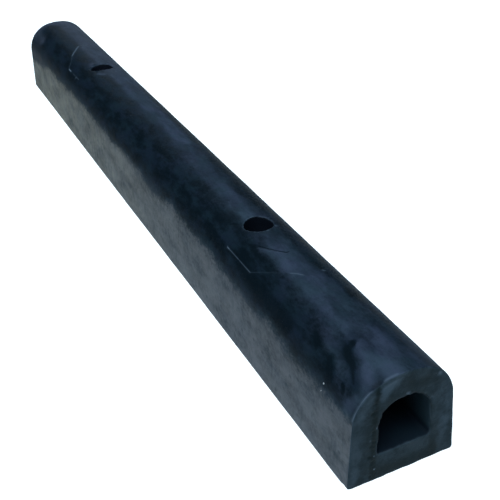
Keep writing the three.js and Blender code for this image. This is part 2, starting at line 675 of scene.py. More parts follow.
    def drifts(self) -> list[Film]:
        """Sets down the pale drifts of bloomed rubber and the dark stains, with painted sheen along the
        crown and painted shade on the shoulder and on the end face's bottom and right. The lists are in
        millimetres.

        Returns:
            The drifts. Those on the skin are x and y from above, those on an end are y and z.
        """
        # Along the top of the crown: painted sheen of the sky over bloomed rubber.
        far_ridge = ((-497, 14, 17), (-380, 15, 16), (-200, 13, 16), (-24, 7, 16))
        ridge = (*far_ridge, (186, 1, 15), (300, 0, 15), (497, 4, 21))
        # Along the far crown: painted sheen of the sky over bloomed rubber.
        far_core = ((-497, 17, 14), (-330, 18, 14), (-200, 16, 13), (-60, 12, 9), (40, 10, 6))
        core_start = ((292, -17, 3), (300, -12, 6), (320, -9, 8))
        near_core = (*core_start, (350, -11, 6), (388, -10, 6), (430, -9, 6))
        near_patch = ((452, -12, 4), (465, -15, 6), (476, -13, 8), (486, -9, 9), (494, -9, 9))
        near_edge = ((478, -20, 5), (490, -26, 6), (495, -34, 6), (490, -43, 6))
        smudge = ((446, -33.5, 3), (452, -37.5, 4.2), (459, -41.5, 3.2))
        wedge_root = ((449, -14, 2.2), (452, -21, 3.2), (457, -23.8, 2.6))
        wedge = (*wedge_root, (468, -26.8, 1.7), (475, -30.2, 1.2), (481, -33.5, 0.7))
        on_skin = [
            (ridge, 0.6),
            (far_core, 1.2),
            (near_core, 0.4),
            (((205, -8, 5), (232, -2, 6)), 0.35),
            (((283, 8, 4), (292, 11, 4)), 0.3),
            (near_patch, 0.6),
            (near_edge, 0.8),
            (((444, 28, 6), (495, 30, 8)), 0.3),
            (((-272, -8, 5), (-262, -14, 4)), 0.6),
            (((-230, -11, 4), (-223, -6, 4)), 1.0),
            # Towards the +Y silhouette: painted sheen.
            (((-330, 30, 5), (-180, 30, 5)), 0.9),
            (((180, 33, 3), (490, 33, 3)), 0.9),
            # Darker along the -Y side of the far crown: painted shade.
            (((-450, -17, 5), (-300, -15, 6), (-150, -18, 6)), -0.35),
            (((-345, 4, 8), (-335, 14, 7)), 0.4),
            # At the far end: painted sheen over bloomed rubber.
            (((-497, -24, 9), (-488, 4, 10), (-495, 20, 8)), 0.9),
            (((-497, -35, 12), (-452, -36, 10)), 0.8),
            (((-494, 14, 10), (-450, 14, 8)), 0.6),
            (((428, -24, 7), (452, -32, 9), (474, -38, 8), (486, -44, 6)), 0.35),
            (smudge, -1.5),
            (wedge, -1.8),
            (((419, -31.5, 2.4), (428, -35.6, 2.4)), -0.9),
            (((473, -38, 1.4), (477, -40, 1.4)), -1.2),
            (((434, 12, 4), (468, 18, 4)), -0.2),
            # Darker along the -Y shoulder: painted shade.
            (((290, -36, 7), (340, -39, 9), (388, -38, 8)), -0.9),
            (((318, 17, 4), (360, 20, 4), (392, 20, 4)), -0.5),
        ]
        on_end = [
            (((-42, 66, 9), (-42, 40, 7), (-44, 8, 5)), 0.7),
            (((-38, 76, 7), (-31, 85, 7), (-14, 92, 6), (-6, 94, 4)), 0.9),
            (((39, 64, 8), (38, 22, 7)), 0.8),
            (((-18, 91, 4), (-9, 94.5, 3)), 1.3),
            (((-20, 82, 4), (-13, 89, 4)), 1.2),
            (((-23, 92, 3), (-25, 66, 2.6), (-26, 44, 2.4), (-27, 4, 2.4)), -0.9),
            # Darker along the bottom and the right of the end face: painted shade.
            (((-20, 8, 9), (24, 6, 9)), -0.7),
            (((31, 22, 4), (30, 3, 4)), -0.6),
            (((8, 87, 6), (28, 82, 5)), -0.5),
        ]
        skin_films = [Film(in_metres(path), Zone.SKIN, strength) for path, strength in on_skin]
        return skin_films + [Film(in_metres(path), Zone.END, strength) for path, strength in on_end]

    def small_marks(self) -> list[Dent]:
        """Sets down the pits, chips and specks. The list is in millimetres.

        Returns:
            The marks.
        """
        end = self.length / MM / 2
        placed = [
            ((end, -24, 96.2), 4.0, 2.5, -0.6),
            ((496.5, -20.4, 97), 2.4, 0.7, -0.6),
            ((497, -27.5, 94.5), 1.8, 0.5, -0.5),
            ((end, -20.5, 95.4), 2.0, -0.3, 0.3),
            ((end, -49.5, 2), 3.0, 1.2, 0.3),
            ((494, -49.8, 1.5), 2.2, 0.7, 0.4),
            ((end, -27.8, 71.1), 1.4, 0.7, -0.6),
            ((end, -30.2, 27.9), 1.5, 0.6, -0.6),
            ((end, -25.3, 12.5), 0.9, -0.3, 1.7),
            ((end, -26.0, 27.0), 0.9, -0.3, 1.3),
            ((end, -22.9, 54.8), 1.4, 0.5, 1.8),
            ((end, -26.5, 66.0), 0.9, -0.3, 1.4),
            ((end, 3.2, 77.8), 1.5, 0.7, 1.3),
            ((end, 47.5, 44), 1.0, -0.1, 1.4),
            ((end, 47.0, 60), 0.9, -0.1, 1.3),
            ((end, 24.5, 63), 3.4, 0.8, 0.3),
            ((end, 25.2, 34), 2.2, 0.4, 0.25),
            ((end, 32, 86.4), 1.8, 0.8, 1.0),
            ((249.2, -48.3, 29.1), 1.6, 0.3, -0.5),
            ((318.1, -49.0, 18.6), 4.0, 0.3, -0.4),
            ((326.3, -47.2, 46.5), 2.6, 0.2, -0.35),
            ((-246.0, -1.5, 100.0), 2.6, -0.1, 0.14),
            ((349.2, 16.6, 98.1), 1.3, -0.24, 0.8),
            ((-263, -34.3, 87), 1.6, -0.2, 0.7),
        ]
        marks = [Dent(tuple(v * MM for v in p), r * MM, d * MM, s) for p, r, d, s in placed]
        draw = np.random.default_rng(71)
        strip_z, strip_y = (0, 18, 44, 66, 78, 86), (-26.6, -27.6, -26.7, -26.3, -24.8, -22.6)
        for _ in range(self.strip_pits):
            z = draw.uniform(2, 93)
            y = np.interp(z, strip_z, strip_y)
            size = draw.uniform(0.6, 1.7)
            depth = draw.uniform(-0.2, 0.4)
            place = (self.length / 2, (y + draw.normal() * 1.7) * MM, z * MM)
            marks.append(Dent(place, size * MM, depth * MM, 0.5 if draw.random() < 0.07 else -0.5))
        for sign in (-1, 1):
            for along in draw.uniform(-0.7, 0.7, self.mouth_chips) * self.bore.half_length:
                (y, z), = self.bore.at(np.array([along]))[0]
                radius = draw.uniform(0.8, 2.0) * MM
                place = (sign * self.length / 2, y, z)
                marks.append(Dent(place, radius, radius * draw.uniform(-0.2, 0.5), -0.7))
        for x in self.stations:
            for turn in draw.uniform(0, 2 * math.pi, self.rim_chips):
                reach = self.access_radius + draw.uniform(0, 2.2) * MM
                y = self.core_drift + reach * math.sin(turn)
                radius = draw.uniform(0.9, 1.9) * MM
                place = (x + reach * math.cos(turn), y, self.height - y**2 / 2 / self.crown)
                marks.append(Dent(place, radius, radius * draw.uniform(-0.1, 0.45), draw.uniform(-0.7, 0.5)))
        for _ in range(self.skin_pits):
            x = draw.uniform(-0.49, 0.49) * self.length
            along = draw.uniform(-0.62, 0.62) * self.outer.half_length
            (y, z), = self.outer.at(np.array([along]))[0]
            size = draw.uniform(0.9, 2.2) * MM
            marks.append(Dent((x, y, z), size, size * draw.uniform(0.1, 0.3), -0.4))
        return marks

    def build(self) -> bpy.types.Object:
        """Puts the mesh together and gives it its relief.

        Returns:
            The bumper's object, without materials.
        """
        outer_rings, skin_holes = self.skin()
        bore_rings, bore_holes = self.bore_wall()
        for sign in (-1, 1):
            worn_edge = self.ragged(11 + sign, len(outer_rings[sign]), *self.edge_spread) * self.end_edge
            worn_mouth = self.ragged(31 + sign, len(bore_rings[sign]), *self.mouth_spread) * self.mouth_edge
            rim = self.round_over(self.outer_wrap, outer_rings[sign], worn_edge, sign)
            mouth = self.round_over(self.bore_wrap, bore_rings[sign], -worn_mouth, sign)
            self.end_face(rim, mouth, sign)
        for upper, lower in zip(skin_holes, bore_holes):
            self.join_hole(upper, lower)
        return self.finish_mesh()

    def dress(self, bumper: bpy.types.Object, effects: "Effects") -> None:
        """Gives the bumper its finishes, in the order of the zones."""
        for finish in (MouldedSkin(), EndFinish(), BoreFinish()):
            bumper.data.materials.append(finish.make(effects))

    def hole_ring(self, x: float, radius: float | np.ndarray) -> np.ndarray:
        """Lays a hole's ring out from above, as x and y. Its radius may differ from place to place."""
        y = self.core_drift + radius * np.sin(self.turn)
        return np.stack([x + radius * np.cos(self.turn), y], axis=1)

    def flap(self, x: float) -> np.ndarray:
        """Draws how far a lip of flash reaches into the mouth of an access hole.

        Args:
            x: The hole's place along the bumper.

        Returns:
            The reach all round the ring: a flap on the +X side of the far hole, an even lip in the near one.
        """
        if x > 0:
            return np.full(self.ring_steps, self.lip_reach)
        aside = np.abs((self.turn - self.flap_turn + math.pi) % (2 * math.pi) - math.pi)
        return self.flap_reach * np.clip(1 - aside / self.flap_half_turn, 0, 1) ** 0.7

    def worn_rim(self, x: float) -> np.ndarray:
        """Draws how far the upper rim of an access hole is worn back all round.

        Args:
            x: The hole's place along the bumper.

        Returns:
            The rounding's size at each place of the ring. The far hole is worn most on its -X side.
        """
        seed = 51 if x < 0 else 53
        uneven = self.ragged(seed, self.ring_steps, *self.rim_spread) * self.access_rim
        if x > 0:
            return uneven
        return uneven + self.access_wear * np.clip(-np.cos(self.turn - self.wear_turn), 0, 1) ** 2

    def worn_mouth(self, x: float, beyond: float = 0.0) -> np.ndarray:
        """Lays out the worn mouth of an access hole, or a ring beyond it, as x and y from above."""
        return self.hole_ring(x, self.access_radius + self.worn_rim(x) - self.flap(x) + beyond)

    def on_crown(self, section: DSection, places: np.ndarray) -> np.ndarray:
        """Turns x and y from above into x and length along the section's edge."""
        return np.stack([places[:, 0], section.over(places[:, 1])], axis=1)

    def on_foot(self, section: DSection, places: np.ndarray) -> np.ndarray:
        """Turns x and y on the foot into x and length along the section's edge."""
        return np.stack([places[:, 0], section.half_length - (places[:, 1] - section.shift)], axis=1)

    def guides_beside(self, line: Line) -> list[np.ndarray]:
        """Runs rows of points beside a line, so that its relief is meshed cleanly.

        Args:
            line: A line on the skin.

        Returns:
            The rows, the middle one first.
        """
        path = self.on_crown(self.outer, np.array(line.path))
        steps = []
        normals = []
        for start, end in zip(path[:-1], path[1:]):
            length = float(np.linalg.norm(end - start))
            count = max(int(length / self.guide_step), 1)
            share = (np.arange(count) + 0.5) / count
            steps.append(start + share[:, None] * (end - start))
            across = np.array([start[1] - end[1], end[0] - start[0]]) / length
            normals.append(np.repeat(across[None], count, axis=0))
        middle, across = np.concatenate(steps), np.concatenate(normals)
        return [middle + across * line.width * share for share in (0.0, -0.8, 0.8, -1.8, 1.8)]

    def skin(self) -> tuple[dict, list[np.ndarray]]:
        """Meshes the outer skin.

        Returns:
            The ring at each end, by its sign, and the rings of the holes.
        """
        reach, seam = self.reach, self.outer_wrap.start
        closed = seam + self.outer_wrap.around
        foot_start = self.outer.half_length - self.width / 2 + self.back_edge
        weaves = [
            Weave((self.fine_from, -self.fine_around), (reach, self.fine_around), self.fine_pitch),
            Weave((-reach, -foot_start), (reach, foot_start), self.skin_pitch),
            Weave((-reach, seam), (reach, closed), self.foot_pitch),
        ]
        openings, guides = [], []
        for x in self.stations:
            bolt = self.hole_ring(x, self.bolt_radius + self.small_rim)
            openings.append(self.on_crown(self.outer, self.worn_mouth(x)))
            openings.append(self.on_foot(self.outer, bolt))
            guides += [self.on_crown(self.outer, self.worn_mouth(x, beyond)) for beyond in self.mouth_rows]
        for line in self.lines:
            if line.zone == Zone.SKIN:
                guides += self.guides_beside(line)
        return self.tube(self.outer_wrap, weaves, openings, guides)

    def bore_wall(self) -> tuple[dict, list[np.ndarray]]:
        """Meshes the wall of the bore.

        Returns:
            The ring at each end, by its sign, and the rings of the holes.
        """
        reach, seam = self.reach, self.bore_wrap.start
        closed = seam + self.bore_wrap.around
        openings, weaves = [], []
        for x in self.stations:
            access = self.hole_ring(x, self.access_radius + self.small_rim)
            bolt = self.hole_ring(x, self.bolt_radius + self.small_rim)
            openings += [self.on_crown(self.bore, access), self.on_foot(self.bore, bolt)]
            weaves.append(Weave((x - self.near_hole, seam), (x + self.near_hole, closed), self.end_pitch))
        weaves += [
            Weave((reach - self.near_end, seam), (reach, closed), self.skin_pitch),
            Weave((-reach, seam), (self.near_end - reach, closed), self.skin_pitch),
            Weave((-reach, seam), (reach, closed), self.bore_pitch),
        ]
        return self.tube(self.bore_wrap, weaves, openings, [])

    def tube(
        self, wrap: Wrap, weaves: list[Weave], openings: list[np.ndarray], guides: list[np.ndarray]
    ) -> tuple[dict, list[np.ndarray]]:
        """Meshes a skin that runs all round a section.

        Args:
            wrap: The skin.
            weaves: How closely it is filled, the finest first.
            openings: The rings of its holes, as x and length along the edge.
            guides: Rows of points to take in, likewise.

        Returns:
            The ring of vertices at each end, by its sign, and the ring of each hole.
        """
        reach = self.reach
        turns = np.append(wrap.turns, wrap.start + wrap.around)
        runs = np.linspace(-reach, reach, round(2 * reach / wrap.run) + 1)
        last_turn, last_run = len(turns) - 1, len(runs) - 1
        border = np.concatenate(
            [
                np.stack([np.full(last_turn + 1, reach), turns], axis=1),
                np.stack([runs[::-1][1:], np.full(last_run, turns[-1])], axis=1),
                np.stack([np.full(last_turn, -reach), turns[::-1][1:]], axis=1),
                np.stack([runs[1:-1], np.full(last_run - 1, turns[0])], axis=1),
            ]
        )
        places, triangles = Flat(border, openings, guides, weaves).fill()
        points, _ = wrap.section.at(places[:, 1])
        numbers = self.draft.place(np.column_stack([places[:, 0], points]))
        corner = 2 * last_turn + last_run
        near_side = np.concatenate([[0], np.arange(len(border) - 1, corner - 1, -1)])
        numbers[last_turn : last_turn + last_run + 1] = numbers[near_side]
        self.draft.cover(numbers[triangles], wrap.zone)
        ends = {1: numbers[:last_turn], -1: numbers[last_turn + last_run + 1 : corner + 1][::-1]}
        holes = []
        begun = len(border)
        for opening in openings:
            holes.append(numbers[begun : begun + len(opening)])
            begun += len(opening)
        return ends, holes

    def ragged(self, seed: int, steps: int, least: float, most: float) -> np.ndarray:
        """Draws a smooth uneven size round a ring.

        Args:
            seed: The draw's seed.
            steps: How many places the ring has.
            least: The smallest size.
            most: The largest size.

        Returns:
            The size at each place.
        """
        turn = np.linspace(0, 2 * math.pi, steps, endpoint=False)
        circle = np.stack([np.cos(turn), np.sin(turn)], axis=1)
        wave = Waves(seed, 0.12, 1.4, 0.5).at(circle)
        return least + (most - least) * np.clip(0.5 + wave, 0, 1)

    def round_over(self, wrap: Wrap, ring: np.ndarray, edge: np.ndarray, sign: int) -> np.ndarray:
        """Rounds a skin over into an end face.

        Args:
            wrap: The skin.
            ring: The skin's last ring.
            edge: The edge's radius at each vertex, negative where the face lies outside the section.
            sign: Which end, 1 or -1.

        Returns:
            The end face's ring along that edge.
        """
        points, normals = wrap.section.at(wrap.turns)
        face = self.length / 2
        before = np.full(len(ring), sign * (face - self.edge_row))
        previous = self.draft.place(np.column_stack([before, points]))
        self.draft.band(ring, previous, wrap.zone)
        middle = self.edge_steps // 2
        for step in range(self.edge_steps + 1):
            angle = step / self.edge_steps * math.pi / 2
            x = sign * (face - np.abs(edge) * (1 - math.sin(angle)))
            inset = edge * (1 - math.cos(angle))
            places = np.column_stack([x, points - normals * inset[:, None]])
            current = self.draft.place(places)
            self.draft.band(previous, current, wrap.zone if step <= middle else Zone.END)
            previous = current
            if step == middle:
                self.edge_rings.append(places)
        return previous

    def end_face(self, rim: np.ndarray, mouth: np.ndarray, sign: int) -> None:
        """Fills an end face between its outer ring and the mouth of the bore.

        Args:
            rim: Vertex numbers of the outer ring.
            mouth: Vertex numbers of the mouth's ring.
            sign: Which end, 1 or -1.
        """
        placed = np.concatenate(self.draft.points)
        border, opening = placed[rim][:, 1:], placed[mouth][:, 1:]
        guides = []
        for line in self.lines:
            if line.zone == Zone.END:
                path = np.array(line.path)
                gaps = np.linalg.norm(np.diff(path, axis=0), axis=1)
                steps = np.arange(0.5 * MM, gaps.sum(), self.mark_step)
                reached = np.concatenate([[0], np.cumsum(gaps)])
                middle = np.stack([np.interp(steps, reached, path[:, k]) for k in (0, 1)], axis=1)
                guides += [middle + np.array([line.width * share, 0]) for share in (0.0, -0.9, 0.9)]
        low, high = border.min(0), border.max(0)
        strip = Weave(self.strip_low, self.strip_high, self.strip_pitch)
        weave = Weave(tuple(low), tuple(high), self.end_pitch)
        places, triangles = Flat(border, [opening], guides, [strip, weave]).fill()
        known = len(border) + len(opening)
        added = places[known:]
        numbers = self.draft.place(np.column_stack([np.full(len(added), sign * self.length / 2), added]))
        self.draft.cover(np.concatenate([rim, mouth, numbers])[triangles], Zone.END)

    def join_hole(self, upper: np.ndarray, lower: np.ndarray) -> None:
        """Runs a hole's wall between the skin and the bore, with a worn rounding at both of its rims.

        Args:
            upper: The ring on the outer skin.
            lower: The ring on the bore.
        """
        placed = np.concatenate(self.draft.points)
        first, last = placed[upper], placed[lower]
        centre = last[:, :2].mean(0)
        outward = last[:, :2] - centre
        outward /= np.linalg.norm(outward, axis=1)[:, None]
        wide = np.linalg.norm(first[:, :2] - centre, axis=1)
        sink = 1.0 if first[0, 2] > last[0, 2] else -1.0
        radius = self.access_radius if sink > 0 else self.bolt_radius
        mouth = radius - self.flap(centre[0]) if sink > 0 else np.full(len(wide), radius)
        rows = []
        for step in range(1, self.rim_steps + 1):
            angle = step / self.rim_steps * math.pi / 2
            reach = mouth + (wide - mouth) * (1 - math.sin(angle))
            depth = (wide - mouth) * (1 - math.cos(angle))
            rows.append((reach, first[:, 2] - sink * depth))
        narrow = float(np.linalg.norm(last[:, :2] - centre, axis=1).mean()) - radius
        stop = last[:, 2] + sink * narrow
        begin = rows[-1][1]
        for share in np.linspace(0, 1, self.wall_steps + 1)[1:]:
            lip = (radius - mouth) * (1 - min(share * 2, 1))
            rows.append((radius - lip, begin + (stop - begin) * share))
        rows.append((radius + 0.3 * narrow, last[:, 2] + sink * 0.3 * narrow))
        previous = upper
        for number, (reach, z) in enumerate(rows):
            row = centre + outward * np.broadcast_to(reach, z.shape)[:, None]
            ring = self.draft.place(np.column_stack([row, z]))
            self.draft.band(previous, ring, Zone.SKIN if number < self.rim_steps - 1 else Zone.BORE)
            previous = ring
            if number == 1:
                self.edge_rings.append(np.column_stack([row, z]))
        self.draft.band(previous, lower, Zone.BORE)

    def finish_mesh(self) -> bpy.types.Object:
        """Closes the mesh, adds the relief and stores the masks that the finishes read.

        Returns:
            The bumper's object.
        """
        points = np.concatenate(self.draft.points)
        mesh = bpy.data.meshes.new("bumper_rubber")
        mesh.from_pydata([tuple(p) for p in points.tolist()], [], self.draft.faces)
        mesh.polygons.foreach_set("material_index", np.array(self.draft.zones, np.int32))
        work = bmesh.new()
        work.from_mesh(mesh)
        loose = [v for v in work.verts if not v.link_faces]
        bmesh.ops.delete(work, geom=loose, context="VERTS")
        open_edges = sum(len(e.link_faces) != 2 for e in work.edges)
        if open_edges:
            raise ValueError(f"the bumper's mesh has {open_edges} open edges")
        bmesh.ops.recalc_face_normals(work, faces=work.faces)
        work.to_mesh(mesh)
        work.free()
        mesh.polygons.foreach_set("use_smooth", np.ones(len(mesh.polygons), bool))
        self.add_relief(mesh)
        thing = bpy.data.objects.new("bumper_rubber", mesh)
        bpy.context.scene.collection.objects.link(thing)
        return thing

    def vertex_zones(self, mesh: bpy.types.Mesh) -> np.ndarray:
        """Finds which surface each vertex is part of, the end faces winning over the skin."""
        zones = np.zeros(len(mesh.vertices), np.int32)
        for polygon in mesh.polygons:
            for corner in polygon.vertices:
                if polygon.material_index == Zone.END or zones[corner] == Zone.SKIN:
                    zones[corner] = polygon.material_index
        return zones

    def add_relief(self, mesh: bpy.types.Mesh) -> None:
        """Moves the vertices by the unevenness, lines and marks, and stores the masks.

        Args:
            mesh: The closed mesh of even surfaces.
        """
        points = np.zeros(len(mesh.vertices) * 3)
        normals = np.zeros(len(mesh.vertices) * 3)
        mesh.vertices.foreach_get("co", points)
        mesh.vertices.foreach_get("normal", normals)
        points, normals = points.reshape(-1, 3), normals.reshape(-1, 3)
        zones = self.vertex_zones(mesh)
        ripple = self.ripples.at(points)
        height = self.rolling.at(points) + ripple - self.skin_inset
        on_end = zones == Zone.END
        height[on_end] = (self.end_ripple * ripple - self.skin_inset / 2)[on_end]
        shine, bloom_and_painted_sheen = np.zeros(len(points)), np.zeros(len(points))
        marked = {
            Zone.SKIN: (zones == Zone.SKIN) & (points[:, 2] > self.height / 2),
            Zone.END: on_end,
        }
        for line in self.lines:
            near = marked[line.zone]
            strength = line.strength(*self.beside(points[near], line.path, line.zone))
            height[near] += line.rise * strength
            shine[near] += line.shine * strength
        # The drifts hold bloomed film and stains, with painted sheen on the crown and painted shade on the
        # shoulder.
        for film in self.films:
            near = marked[film.zone]
            corners = [corner[:2] for corner in film.path]
            bloom_and_painted_sheen[near] += film.at(*self.beside(points[near], corners, film.zone))
        for dent in self.dents:
            gap = np.linalg.norm(points - np.array(dent.place), axis=1) / dent.radius
            strength = np.exp(-(gap**2))
            height -= dent.depth * strength
            shine += dent.shine * strength
        height[points[:, 2] < self.foot_band] = 0.0
        moved = points + normals * height[:, None]
        low, high = (np.array(corner) for corner in CAD_BOX)
        mesh.vertices.foreach_set("co", np.clip(moved, low, high).ravel())
        rims = nearest(points, np.concatenate(self.edge_rings))
        self.store(mesh, "rim", np.exp(-rims / self.rim_fade))
        self.store(mesh, "mark", np.clip(shine, -1, 2))
        self.store(mesh, "bloom_and_painted_sheen", np.clip(bloom_and_painted_sheen, -1, np.where(on_end, 2, 1)))
        mesh.update()

    def beside(self, points: np.ndarray, path: object, zone: Zone) -> tuple[np.ndarray, np.ndarray]:
        """Brings points and a path on one surface into the same flat space.

        Args:
            points: Places on the surface, one row each.
            path: The path's corners.
            zone: The surface.

        Returns:
            The points and the path's corners, in that space.
        """
        corners = np.array(path)
        if zone == Zone.END:
            return points[:, 1:], corners
        return self.on_crown(self.outer, points), self.on_crown(self.outer, corners)

    def store(self, mesh: bpy.types.Mesh, name: str, values: np.ndarray) -> None:
        """Stores a mask on the vertices, which the finishes read by its name."""
        layer = mesh.attributes.new(name, "FLOAT", "POINT")
        layer.data.foreach_set("value", values.astype(np.float32))


class Graph:
    """A node tree being wired up."""

    def __init__(self, tree: bpy.types.NodeTree) -> None:
        """Keeps the tree that nodes are added to."""
        self.tree = tree

    def add(self, kind: str, **settings: object) -> bpy.types.Node:
        """Adds a node and sets its own settings."""
        node = self.tree.nodes.new(kind)
        for name, value in settings.items():
            setattr(node, name, value)
        return node

    def feed(self, socket: bpy.types.NodeSocket, value: object) -> None:
        """Links a socket to another, or sets it to a plain value."""
        if isinstance(value, Socket):
            self.tree.links.new(value, socket)
        else:
            socket.default_value = value

    def math(self, operation: str, *values: object) -> Socket:
        """Does one of the Math node's sums.

        Args:
            operation: The node's operation.
            values: Its values or the sockets that they come from.

        Returns:
            The result's socket.
        """
        node = self.add("ShaderNodeMath", operation=operation)
        for socket, value in zip(node.inputs, values):
            self.feed(socket, value)
        return node.outputs[0]

    def plus(self, first: object, second: object) -> Socket:
        """Adds two values."""
        return self.math("ADD", first, second)

    def times(self, first: object, second: object) -> Socket:
        """Multiplies two values."""
        return self.math("MULTIPLY", first, second)

    def scaled(self, value: object, factor: object, offset: object) -> Socket:
        """Multiplies a value by a factor and adds an offset."""
        return self.math("MULTIPLY_ADD", value, factor, offset)

    def larger(self, first: object, second: object) -> Socket:
        """Takes the larger of two values."""
        return self.math("MAXIMUM", first, second)

    def ramp(
        self, value: object, low: float, high: float, start: float = 0.0, end: float = 1.0
    ) -> Socket:
        """Maps a value smoothly from one range to another.

        Args:
            value: What is mapped.
            low: Where it starts.
            high: Where it ends.
            start: The result at low.
            end: The result at high.

        Returns:
            The result's socket.
        """
        node = self.add("ShaderNodeMapRange", interpolation_type="SMOOTHSTEP")
        for socket, given in zip(node.inputs, (value, low, high, start, end)):
            self.feed(socket, given)
        return node.outputs[0]

    def noise(
        self, place: object, scale: float, detail: float, rough: float, seed: object = 0.0
    ) -> Socket:
        """Adds a noise texture.

        Args:
            place: The coordinates.
            scale: How many features fit in a metre.
            detail: How many finer layers it has.
            rough: How strong the finer layers are.
            seed: Which noise it is.

        Returns:
            The noise, about 0.5 in the middle.
        """
        node = self.add("ShaderNodeTexNoise", noise_dimensions="4D")
        self.feed(node.inputs["Vector"], place)
        self.feed(node.inputs["W"], seed)
        self.feed(node.inputs["Scale"], scale)
        self.feed(node.inputs["Detail"], detail)
        self.feed(node.inputs["Roughness"], rough)
        return node.outputs["Fac"]

    def cells(self, place: object, scale: float) -> Socket:
        """Adds a pattern of cells and gives the distance from their middles."""
        node = self.add("ShaderNodeTexVoronoi", feature="F1")
        self.feed(node.inputs["Vector"], place)
        self.feed(node.inputs["Scale"], scale)
        return node.outputs["Distance"]

    def stored(self, name: str) -> Socket:
        """Reads a mask that is stored on the mesh."""
        return self.add("ShaderNodeAttribute", attribute_name=name).outputs["Fac"]

    def axes(self, place: Socket) -> tuple[Socket, Socket, Socket]:
        """Splits a place into its x, y and z."""
        node = self.add("ShaderNodeSeparateXYZ")
        self.feed(node.inputs[0], place)
        return tuple(node.outputs)

    def stretched(self, place: object, factors: tuple[float, float, float]) -> Socket:
        """Multiplies coordinates along each axis."""
        node = self.add("ShaderNodeVectorMath", operation="MULTIPLY")
        self.feed(node.inputs[0], place)
        self.feed(node.inputs[1], factors)
        return node.outputs[0]

    def blend(self, share: object, first: object, second: object) -> Socket:
        """Mixes two colours.

        Args:
            share: How much of the second shows.
            first: The first colour.
            second: The second colour.

        Returns:
            The mixed colour's socket.
        """
        node = self.add("ShaderNodeMix", data_type="RGBA")
        colours = [s for s in node.inputs if s.type == "RGBA"]
        self.feed(node.inputs[0], share)
        self.feed(colours[0], first)
        self.feed(colours[1], second)
        return next(s for s in node.outputs if s.type == "RGBA")

    def put(self, group: bpy.types.NodeTree, **values: object) -> bpy.types.bpy_prop_collection:
        """Places a node group.

        Args:
            group: The group.
            values: What its inputs are linked or set to, by their names.

        Returns:
            The group's outputs.
        """
        node = self.add("ShaderNodeGroup", node_tree=group)
        for name, value in values.items():
            self.feed(node.inputs[name], value)
        return node.outputs


def shade(red: float, green: float, blue: float) -> Colour:
    """Gives a linear colour with full alpha."""
    return (red, green, blue, 1.0)


